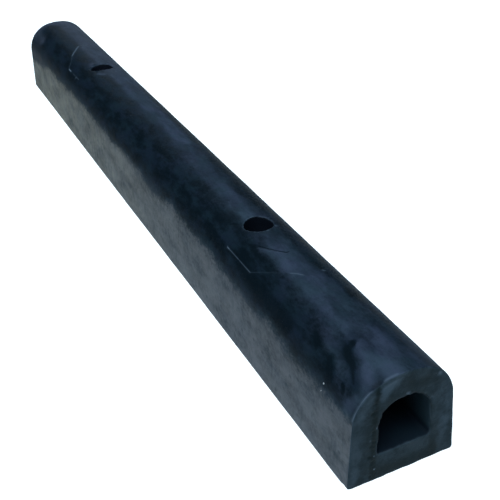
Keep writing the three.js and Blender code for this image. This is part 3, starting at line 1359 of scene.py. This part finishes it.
class Effects:
    """The shader node groups that more than one finish uses."""

    def __init__(self) -> None:
        """Builds each group once."""
        self.grain = self.make_grain()
        self.cloud = self.make_cloud()
        self.dust = self.make_dust()
        self.wear_and_highlight = self.make_wear_and_highlight()

    def start(self, name: str, inputs: list[str], outputs: list[str]) -> tuple[Graph, dict, dict]:
        """Starts a group. Its first input is the place on the bumper, and the rest are numbers.

        Args:
            name: The group's name.
            inputs: The names of its other inputs.
            outputs: The names of its outputs.

        Returns:
            The group's graph, and the sockets of its inputs and outputs by name.
        """
        tree = bpy.data.node_groups.new(name, "ShaderNodeTree")
        tree.interface.new_socket("Vector", in_out="INPUT", socket_type="NodeSocketVector")
        for label in inputs:
            tree.interface.new_socket(label, in_out="INPUT", socket_type="NodeSocketFloat")
        for label in outputs:
            tree.interface.new_socket(label, in_out="OUTPUT", socket_type="NodeSocketFloat")
        given, out = tree.nodes.new("NodeGroupInput"), tree.nodes.new("NodeGroupOutput")
        return Graph(tree), given.outputs, out.inputs

    def make_grain(self) -> bpy.types.NodeTree:
        """Builds the fine tooth of moulded rubber: soft lumps, fine grain and scattered pores.

        Returns:
            The group, which puts out a height, a mottle and a finer speckle.
        """
        graph, given, out = self.start("rubber_grain", ["Pores"], ["Height", "Mottle", "Speckle"])
        place = given["Vector"]
        lumps = graph.noise(place, 260, 3, 0.6)
        fine = graph.noise(place, 1500, 2, 0.6, seed=2.0)
        pores = graph.ramp(graph.cells(place, 330), 0.0, 0.22, 1.0, 0.0)
        rare = graph.ramp(graph.noise(place, 90, 1, 0.5, seed=5.0), 0.56, 0.66)
        pitted = graph.times(graph.times(pores, rare), given["Pores"])
        height = graph.scaled(lumps, 0.6, graph.times(fine, 0.25))
        coarse, small = graph.stretched(place, (0.4, 1, 1)), graph.stretched(place, (0.7, 1, 1))
        graph.feed(out["Height"], graph.math("SUBTRACT", height, pitted))
        graph.feed(out["Mottle"], graph.noise(coarse, 75, 5, 0.65, seed=8.0))
        graph.feed(out["Speckle"], graph.noise(small, 330, 4, 0.75, seed=16.0))
        return graph.tree

    def make_cloud(self) -> bpy.types.NodeTree:
        """Builds a film that lies in drifting patches, such as bloom or soaked-in dirt.

        Returns:
            The group, which puts out a mask.
        """
        graph, given, out = self.start("drifting_film", ["Seed", "Cover"], ["Mask"])
        place, seed = given["Vector"], given["Seed"]
        large = graph.noise(graph.stretched(place, (0.3, 1, 1)), 17, 4, 0.6, seed)
        small = graph.noise(graph.stretched(place, (0.45, 1, 1)), 110, 4, 0.65, seed)
        mixed = graph.scaled(large, 0.6, graph.times(small, 0.4))
        shifted = graph.plus(mixed, given["Cover"])
        patches = graph.noise(graph.stretched(place, (0.4, 1, 1)), 55, 5, 0.65, seed)
        broken = graph.ramp(patches, 0.34, 0.62, 0.45, 1.0)
        graph.feed(out["Mask"], graph.times(graph.ramp(shifted, 0.64, 1.2), broken))
        # Builds a film that lies in drifting patches, such as the bloomed film, soaked-in dirt and the
        # crown's painted sheen.
        return graph.tree

    def make_dust(self) -> bpy.types.NodeTree:
        """Builds dry dust: upright runs, freckles and fine powder.

        Returns:
            The group, which puts out a mask of dust and one of dark runs in it.
        """
        graph, given, out = self.start("dry_dust", ["Amount"], ["Mask", "Runs"])
        place = given["Vector"]
        runs = graph.noise(graph.stretched(place, (1, 1, 0.16)), 150, 3, 0.6, seed=3.0)
        powder = graph.noise(place, 200, 4, 0.7, seed=4.0)
        drift = graph.noise(graph.stretched(place, (0.5, 1, 1)), 40, 4, 0.65, seed=6.0)
        body = graph.scaled(drift, 0.8, graph.scaled(powder, 0.4, 0.1))
        cover = graph.ramp(body, 0.5, 0.88, 0.38, 1.0)
        freckles = graph.cells(graph.stretched(place, (0.6, 1, 0.7)), 110)
        spots = graph.ramp(freckles, 0.08, 0.2, 0.8, 0.0)
        dark = graph.larger(graph.ramp(runs, 0.54, 0.74), spots)
        graph.feed(out["Mask"], graph.times(cover, given["Amount"]))
        graph.feed(out["Runs"], graph.times(dark, given["Amount"]))
        return graph.tree

    def make_wear_and_highlight(self) -> bpy.types.NodeTree:
        """Builds scuffed edges with a painted highlight: the stored rim mask, eaten into by noise.

        Returns:
            The group, which puts out a mask.
        """
        graph, given, out = self.start("scuffed_rim_and_highlight", ["Amount"], ["Mask"])
        patchy = graph.noise(given["Vector"], 55, 4, 0.65, seed=9.0)
        eaten = graph.times(graph.stored("rim"), graph.ramp(patchy, 0.3, 0.7, 0.35, 1.25))
        graph.feed(out["Mask"], graph.times(graph.ramp(eaten, 0.3, 0.95), given["Amount"]))
        return graph.tree


@dataclass(frozen=True)
class Tooth:
    """How a rubber surface takes the light: its gloss, and the pores and relief of its grain."""

    ior: float
    pores: float
    strength: float
    depth: float


class Coat(Graph):
    """One rubber material being wired up, with what every rubber finish is made of."""

    def __init__(self, name: str, tooth: Tooth, effects: Effects) -> None:
        """Starts the material and places the grain in it.

        Args:
            name: The material's name.
            tooth: How the surface takes the light.
            effects: The shared node groups.
        """
        self.material = bpy.data.materials.new(name)
        self.material.use_nodes = True
        super().__init__(self.material.node_tree)
        self.tooth = tooth
        self.effects = effects
        self.place = self.add("ShaderNodeTexCoord").outputs["Object"]
        grain = self.put(effects.grain, Vector=self.place, Pores=tooth.pores)
        self.height, self.mottle, self.speckle = grain

    def drift(self, spread: float) -> Socket:
        """Reads the stored drifts of bloomed film and stains, with their painted sheen and painted shade,
        roughened by the speckle.
        """
        rough = self.scaled(self.speckle, spread, -spread / 2)
        return self.plus(self.stored("bloom_and_painted_sheen"), rough)

    def film(self, seed: float, cover: object) -> Socket:
        """Masks a film that lies in patches."""
        return self.put(self.effects.cloud, Vector=self.place, Seed=seed, Cover=cover)["Mask"]

    def worn(self, share: float) -> Socket:
        """Masks the scuffed rims, which also carry a painted highlight."""
        return self.put(self.effects.wear_and_highlight, Vector=self.place, Amount=share)["Mask"]

    def marked(self, base: Socket, scuff_and_highlight: Colour, speck: Colour, sunk: Colour, share: float) -> Socket:
        """Lays the scuffed rims with their painted highlight, the stored lines and the stored specks over a
        colour.

        Args:
            base: The colour below them.
            scuff_and_highlight: The colour of rims and raised lines.
            speck: The colour of pale specks.
            sunk: The colour of sunk lines and pits.
            share: How much of a rim is scuffed and given a painted highlight.

        Returns:
            The colour with the marks on it.
        """
        mark = self.stored("mark")
        bright = self.larger(self.worn(share), self.times(mark, 0.7))
        scuffed = self.blend(bright, base, scuff_and_highlight)
        specked = self.blend(self.ramp(mark, 1.0, 1.8), scuffed, speck)
        pitted = self.larger(self.times(mark, -1.0), 0.0)
        return self.blend(pitted, specked, sunk)

    def close(self, colour: Socket, roughness: Socket) -> bpy.types.Material:
        """Feeds the shader.

        Args:
            colour: The base colour.
            roughness: The roughness.

        Returns:
            The material.
        """
        shader = self.tree.nodes["Principled BSDF"]
        shader.inputs["IOR"].default_value = self.tooth.ior
        self.feed(shader.inputs["Base Color"], colour)
        self.feed(shader.inputs["Roughness"], roughness)
        bump = self.add("ShaderNodeBump")
        bump.inputs["Strength"].default_value = self.tooth.strength
        bump.inputs["Distance"].default_value = self.tooth.depth
        self.feed(bump.inputs["Height"], self.height)
        self.feed(shader.inputs["Normal"], bump.outputs["Normal"])
        return self.material


@dataclass(frozen=True)
class MouldedSkin:
    """The moulded outer skin: blue-black rubber, bloomed with painted sheen on the crown, with painted shade
    on the shoulder, dust down the sides and scuffed rims with a painted highlight.

    Each drop in the dust's limit holds two places along the bumper and how much lower the limit is there.
    """

    rubber: Colour = shade(0.0062, 0.0158, 0.0238)
    # The darkest rubber, also the colour of stains and painted shade.
    deep: Colour = shade(0.0012, 0.005, 0.0085)
    plum: Colour = shade(0.0066, 0.0132, 0.0248)
    # Colours of the crown's bloomed film and its painted sheen.
    bloom_and_painted_sheen: Colour = shade(0.042, 0.056, 0.094)
    grey_bloom_and_painted_sheen: Colour = shade(0.034, 0.055, 0.08)
    # Paler film colour of the far crown: painted sheen over the bloomed film.
    far_bloom_and_painted_sheen: Colour = shade(0.062, 0.075, 0.108)
    dust: Colour = shade(0.29, 0.282, 0.235)
    near_dust: Colour = shade(0.182, 0.194, 0.218)
    pale_dust: Colour = shade(0.19, 0.212, 0.225)
    thin_dust: Colour = shade(0.055, 0.092, 0.116)
    # Colour of the scuffed rims and raised lines, with a painted highlight.
    scuff_and_highlight: Colour = shade(0.12, 0.165, 0.22)
    speck: Colour = shade(0.55, 0.6, 0.64)
    tooth: Tooth = Tooth(ior=1.17, pores=0.8, strength=0.6, depth=0.6 * MM)
    dust_limit: tuple[float, float] = (82.5 * MM, 99 * MM)
    limit_drops: tuple[tuple[float, float, float, float], ...] = (
        (0.26, 0.42, 0.0, 0.002),
        (-0.5, -0.38, 0.016, 0.0),
        (-0.42, -0.2, 0.008, 0.0),
    )
    scuff_and_highlight_share: float = 0.16
    drift_spread: float = 0.9
    drift_share: tuple[float, float] = (0.5, 0.14)
    # Where the film turns paler towards the far end: painted sheen.
    far_sheen_reach: tuple[float, float] = (-0.45, -0.05)
    dust_tone_reach: tuple[float, float] = (-0.45, 0.35)
    dust_cover_reach: tuple[float, float, float, float] = (-0.45, 0.5, 0.8, 0.6)
    run_share: float = 0.42
    flecks: tuple[tuple[float, float, float], ...] = ((0.4544, -0.0438, 0.0733), (0.4536, -0.0457, 0.0662))
    fleck_sizes: tuple[float, float] = (0.75 * MM, 0.42 * MM)
    fleck_edge: float = 0.2

    def fleck_mask(self, coat: Coat) -> Socket:
        """Masks the two pale flecks stuck to the near shoulder.

        Args:
            coat: The material being wired up.

        Returns:
            The mask.
        """
        masks = []
        for centre, size in zip(self.flecks, self.fleck_sizes):
            away = coat.add("ShaderNodeVectorMath", operation="DISTANCE")
            coat.feed(away.inputs[0], coat.place)
            coat.feed(away.inputs[1], centre)
            soft = size * self.fleck_edge
            masks.append(coat.ramp(away.outputs["Value"], size - soft, size + soft, 1.0, 0.0))
        return coat.larger(*masks)

    def dusty_side(self, coat: Coat, x: Socket, z: Socket) -> Socket:
        """Masks the sides up to the wandering limit of the dust.

        Args:
            coat: The material being wired up.
            x: The place along the bumper.
            z: The height above its back.

        Returns:
            The mask.
        """
        wander = coat.noise(coat.stretched(coat.place, (0.5, 1, 1)), 38, 4, 0.65, seed=12.0)
        level = coat.scaled(coat.speckle, 0.016, z)
        level = coat.scaled(wander, 0.026, level)
        for drop in self.limit_drops:
            level = coat.plus(level, coat.ramp(x, *drop))
        return coat.ramp(level, *self.dust_limit, 1.0, 0.0)

    def make(self, effects: Effects) -> bpy.types.Material:
        """Wires the finish up.

        Args:
            effects: The shared node groups.

        Returns:
            The material.
        """
        coat = Coat("moulded_skin", self.tooth, effects)
        x, _, z = coat.axes(coat.place)
        drift = coat.drift(self.drift_spread)
        tint = coat.noise(coat.stretched(coat.place, (0.7, 1, 1)), 48, 4, 0.65, seed=14.0)
        tint = coat.ramp(tint, 0.34, 0.66)
        black = coat.blend(tint, self.rubber, self.plum)
        base = coat.blend(coat.ramp(coat.mottle, 0.4, 0.6), self.deep, black)
        # The crown's film is bloomed rubber with painted sheen.
        film = coat.film(1.0, coat.scaled(drift, *self.drift_share))
        near_bloom_and_painted_sheen = coat.blend(tint, self.grey_bloom_and_painted_sheen, self.bloom_and_painted_sheen)
        # Paler towards the far end: painted sheen.
        pale = coat.blend(coat.ramp(x, *self.far_sheen_reach), self.far_bloom_and_painted_sheen, near_bloom_and_painted_sheen)
        soaked = coat.scaled(coat.mottle, 0.5, drift)
        # The dark mask holds stains and the painted shade of the negative drifts on the shoulder.
        stain_and_painted_shade = coat.ramp(soaked, -0.55, 0.15, 0.8, 0.0)
        stained_with_painted_shade = coat.blend(stain_and_painted_shade, coat.blend(film, base, pale), self.deep)
        side = self.dusty_side(coat, x, z)
        dust = coat.put(effects.dust, Vector=coat.place, Amount=side)
        cover = coat.times(dust["Mask"], coat.ramp(x, *self.dust_cover_reach))
        tone = coat.blend(coat.ramp(x, *self.dust_tone_reach), self.dust, self.near_dust)
        tone = coat.blend(coat.times(tint, 0.45), tone, self.pale_dust)
        tone = coat.blend(coat.ramp(cover, 0.05, 0.4), self.thin_dust, tone)
        dusty = coat.blend(cover, stained_with_painted_shade, tone)
        streaked = coat.blend(coat.times(dust["Runs"], self.run_share), dusty, self.rubber)
        streaked = coat.blend(coat.ramp(coat.speckle, 0.5, 0.75, 0.0, 0.3), streaked, self.deep)
        marked = coat.marked(streaked, self.scuff_and_highlight, self.speck, self.deep, self.scuff_and_highlight_share)
        colour = coat.blend(self.fleck_mask(coat), marked, self.speck)
        matt = coat.scaled(cover, 0.35, coat.ramp(coat.mottle, 0.3, 0.75, 0.5, 0.6))
        return coat.close(colour, coat.scaled(film, 0.15, matt))


@dataclass(frozen=True)
class EndFinish:
    """The end faces: dull grey-green rubber, mottled, with stains, painted shade along the bottom and the
    right, and scuffed rims with a painted highlight.
    """

    rubber: Colour = shade(0.0184, 0.0322, 0.0425)
    dark: Colour = shade(0.006, 0.0135, 0.0172)
    film: Colour = shade(0.036, 0.058, 0.079)
    # Colour of stains, pits and the painted shade along the bottom and the right.
    stain_and_painted_shade: Colour = shade(0.004, 0.01, 0.0118)
    # Colour of the scuffed rims and raised lines, with a painted highlight.
    scuff_and_highlight: Colour = shade(0.09, 0.125, 0.165)
    speck: Colour = shade(0.4, 0.45, 0.48)
    tooth: Tooth = Tooth(ior=1.16, pores=1.0, strength=0.7, depth=0.9 * MM)
    scuff_and_highlight_share: float = 0.16
    drift_spread: float = 1.2
    drift_share: tuple[float, float] = (0.5, 0.1)
    smudge: tuple[float, float] = (1.0, 2.0)

    def make(self, effects: Effects) -> bpy.types.Material:
        """Wires the finish up.

        Args:
            effects: The shared node groups.

        Returns:
            The material.
        """
        coat = Coat("end_face", self.tooth, effects)
        mottle, stored, drift = coat.mottle, coat.stored("bloom_and_painted_sheen"), coat.drift(self.drift_spread)
        base = coat.blend(coat.ramp(coat.film(4.0, 0.5), 0.1, 0.7), self.dark, self.rubber)
        film = coat.film(6.0, coat.scaled(drift, *self.drift_share))
        film = coat.larger(film, coat.ramp(stored, *self.smudge))
        # The dark mask holds stains and the painted shade along the bottom and the right of the face.
        stain_and_painted_shade = coat.ramp(coat.scaled(mottle, 0.8, drift), -0.4, 0.3, 0.85, 0.0)
        stained_with_painted_shade = coat.blend(stain_and_painted_shade, coat.blend(film, base, self.film), self.stain_and_painted_shade)
        bare = coat.ramp(stored, 0.9, 1.7, 1.0, 0.1)
        patches = coat.times(coat.ramp(mottle, 0.42, 0.66, 0.0, 0.6), bare)
        freckles = coat.times(coat.ramp(coat.speckle, 0.48, 0.7, 0.0, 0.4), bare)
        mottled = coat.blend(freckles, coat.blend(patches, stained_with_painted_shade, self.dark), self.stain_and_painted_shade)
        marked = coat.marked(mottled, self.scuff_and_highlight, self.speck, self.stain_and_painted_shade, self.scuff_and_highlight_share)
        return coat.close(marked, coat.ramp(mottle, 0.3, 0.75, 0.55, 0.7))


@dataclass(frozen=True)
class BoreFinish:
    """The bore and the hole walls: near-black rubber with a dull release film, and painted shade on the
    walls of the access holes.

    A paler film lies on the side of the bore towards +Y, with painted light falling in at the mouth. Its
    three ranges say where it fades in.
    """

    rubber: Colour = shade(0.0035, 0.0072, 0.0135)
    film: Colour = shade(0.0032, 0.0128, 0.0205)
    # Paler colour of the +Y wall near the mouth: film with painted light.
    wall: Colour = shade(0.016, 0.034, 0.045)
    # Darker colour of the access holes' walls: painted shade.
    hole: Colour = shade(0.0028, 0.0052, 0.0105)
    # Colour of the scuffed rims, with a painted highlight.
    scuff_and_highlight: Colour = shade(0.1, 0.14, 0.18)
    tooth: Tooth = Tooth(ior=1.25, pores=0.4, strength=0.5, depth=0.5 * MM)
    scuff_and_highlight_share: float = 0.2
    # Where the +Y wall turns paler: film with painted light falling in at the mouth.
    side_y: tuple[float, float, float, float] = (0.0195, 0.023, 0.0, 0.6)
    side_x: tuple[float, float, float, float] = (0.4, 0.5, 0.2, 1.0)
    side_z: tuple[float, float] = (0.029, 0.036)
    hole_shade_z: tuple[float, float] = (0.074, 0.08)

    def make(self, effects: Effects) -> bpy.types.Material:
        """Wires the finish up.

        Args:
            effects: The shared node groups.

        Returns:
            The material.
        """
        coat = Coat("bore_wall", self.tooth, effects)
        x, y, z = coat.axes(coat.place)
        film = coat.film(7.0, 0.4)
        # The +Y wall turns paler towards the mouth: film with painted light falling in.
        side = coat.times(coat.ramp(y, *self.side_y), coat.ramp(x, *self.side_x))
        side = coat.times(side, coat.ramp(z, *self.side_z))
        lined = coat.blend(side, coat.blend(film, self.rubber, self.film), self.wall)
        # The access holes' walls above the bore darken: painted shade.
        base = coat.blend(coat.ramp(z, *self.hole_shade_z), lined, self.hole)
        colour = coat.blend(coat.worn(self.scuff_and_highlight_share), base, self.scuff_and_highlight)
        return coat.close(colour, coat.ramp(film, 0.0, 1.0, 0.6, 0.75))


@dataclass(frozen=True)
class Softbox:
    """One soft rectangular light and where it points."""

    name: str
    place: tuple[float, float, float]
    size: float
    power: float
    colour: tuple[float, float, float]
    target: tuple[float, float, float] = (0.1, 0.0, 0.05)
    flatness: float = 1.0

    def hang(self) -> None:
        """Puts the light up."""
        lamp = bpy.data.lights.new(self.name, "AREA")
        lamp.shape = "RECTANGLE"
        lamp.size = self.size
        lamp.size_y = self.size * self.flatness
        lamp.energy = self.power
        lamp.color = self.colour
        thing = bpy.data.objects.new(self.name, lamp)
        thing.location = self.place
        aim = Vector(self.target) - Vector(self.place)
        thing.rotation_mode = "QUATERNION"
        thing.rotation_quaternion = aim.to_track_quat("-Z", "Y")
        bpy.context.scene.collection.objects.link(thing)


@dataclass(frozen=True)
class Studio:
    """The pale floor, the soft lights and the camera at the photograph's angle."""

    floor_shade: Colour = shade(0.86, 0.87, 0.88)
    floor_half: float = 25.0
    floor_gap: float = 0.2 * MM
    floor_roughness: float = 0.9
    floor_gloss: float = 0.2
    floor_glow: float = 0.25
    floor_white: float = 0.92
    dim_from: float = -0.4
    dim_to: float = -0.06
    dim_share: float = 0.06
    floor_glow_shade: Colour = shade(0.84, 0.95, 1.0)
    sky: Colour = shade(0.35, 0.6, 0.9)
    sky_strength: float = 0.16
    boxes: tuple[Softbox, ...] = (
        Softbox("key_light", (1.2, -1.6, 3.3), 2.6, 140.0, (0.81, 0.935, 1.0)),
        Softbox("fill_light", (2.6, 1.4, 2.2), 2.2, 26.0, (0.74, 0.91, 1.0)),
        Softbox("low_light", (-2.9, 0.8, 0.55), 1.3, 5.0, (0.66, 0.82, 1.0), flatness=0.5),
    )
    camera_place: tuple[float, float, float] = (0.90426, -0.29714, 0.52234)
    camera_azimuth: float = math.radians(66.239)
    camera_elevation: float = math.radians(32.159)
    camera_roll: float = math.radians(-3.489)
    camera_lens: float = 62.66
    sensor_width: float = 36.0
    clip: tuple[float, float] = (0.02, 60.0)

    def set_up(self) -> None:
        """Builds the whole studio."""
        self.lay_floor()
        self.light()
        self.aim_camera()

    def lay_floor(self) -> None:
        """Lays the floor, a hair below the bumper's back."""
        mesh = bpy.data.meshes.new("studio_floor")
        half = self.floor_half
        corners = [(-half, -half, 0), (half, -half, 0), (half, half, 0), (-half, half, 0)]
        mesh.from_pydata(corners, [], [(0, 1, 2, 3)])
        material = bpy.data.materials.new("studio_floor")
        material.use_nodes = True
        shader = material.node_tree.nodes["Principled BSDF"]
        shader.inputs["Roughness"].default_value = self.floor_roughness
        shader.inputs["Specular IOR Level"].default_value = self.floor_gloss
        shader.inputs["Emission Color"].default_value = self.floor_glow_shade
        graph = Graph(material.node_tree)
        seen = graph.add("ShaderNodeLightPath").outputs["Is Camera Ray"]
        _, across, _ = graph.axes(graph.add("ShaderNodeTexCoord").outputs["Object"])
        near = graph.ramp(across, self.dim_from, self.dim_to, self.dim_share, 1.0)
        lit = graph.larger(seen, near)
        graph.feed(shader.inputs["Base Color"], graph.blend(lit, shade(0, 0, 0), self.floor_shade))
        glow = graph.times(near, self.floor_glow)
        gain = self.floor_white - self.floor_glow
        graph.feed(shader.inputs["Emission Strength"], graph.scaled(seen, gain, glow))
        mesh.materials.append(material)
        floor = bpy.data.objects.new("studio_floor", mesh)
        floor.location.z = -self.floor_gap
        bpy.context.scene.collection.objects.link(floor)

    def light(self) -> None:
        """Sets the sky and hangs the softboxes."""
        world = bpy.data.worlds.new("studio_sky")
        world.use_nodes = True
        background = world.node_tree.nodes["Background"]
        graph = Graph(world.node_tree)
        seen = graph.add("ShaderNodeLightPath").outputs["Is Camera Ray"]
        graph.feed(background.inputs["Color"], graph.blend(seen, self.sky, self.floor_shade))
        white = self.floor_white + self.floor_glow
        graph.feed(background.inputs["Strength"], graph.ramp(seen, 0.0, 1.0, self.sky_strength, white))
        bpy.context.scene.world = world
        for box in self.boxes:
            box.hang()
        bpy.context.scene.view_settings.view_transform = "Standard"

    def aim_camera(self) -> None:
        """Makes the camera and turns it to the photograph's view."""
        data = bpy.data.cameras.new("view_camera")
        data.lens = self.camera_lens
        data.sensor_width = self.sensor_width
        data.clip_start, data.clip_end = self.clip
        azimuth, elevation = self.camera_azimuth, self.camera_elevation
        right = Vector((math.cos(azimuth), math.sin(azimuth), 0))
        back = Vector(
            (
                math.sin(azimuth) * math.cos(elevation),
                -math.cos(azimuth) * math.cos(elevation),
                math.sin(elevation),
            )
        )
        up = back.cross(right)
        cosine, sine = math.cos(self.camera_roll), math.sin(self.camera_roll)
        rolled_right = right * cosine + up * sine
        rolled_up = up * cosine - right * sine
        turn = Matrix((rolled_right, rolled_up, back)).transposed().to_4x4()
        camera = bpy.data.objects.new("view_camera", data)
        camera.matrix_world = Matrix.Translation(self.camera_place) @ turn
        bpy.context.scene.collection.objects.link(camera)
        bpy.context.scene.camera = camera


def main() -> None:
    """Builds the bumper, dresses it and sets the studio up."""
    logging.basicConfig(level=logging.INFO, format="%(name)s: %(message)s")
    Studio().set_up()
    low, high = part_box(CAD_NODE)
    moulding = RubberBumper(high.x - low.x, high.y - low.y, high.z - low.z)
    bumper = moulding.build()
    moulding.dress(bumper, Effects())
    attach(bumper, "root")
    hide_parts(CAD_NODE)
    triangles = sum(len(p.vertices) - 2 for p in bumper.data.polygons)
    LOG.info("%s: %d vertices, %d triangles", bumper.name, len(bumper.data.vertices), triangles)


if __name__ == "__main__":
    main()
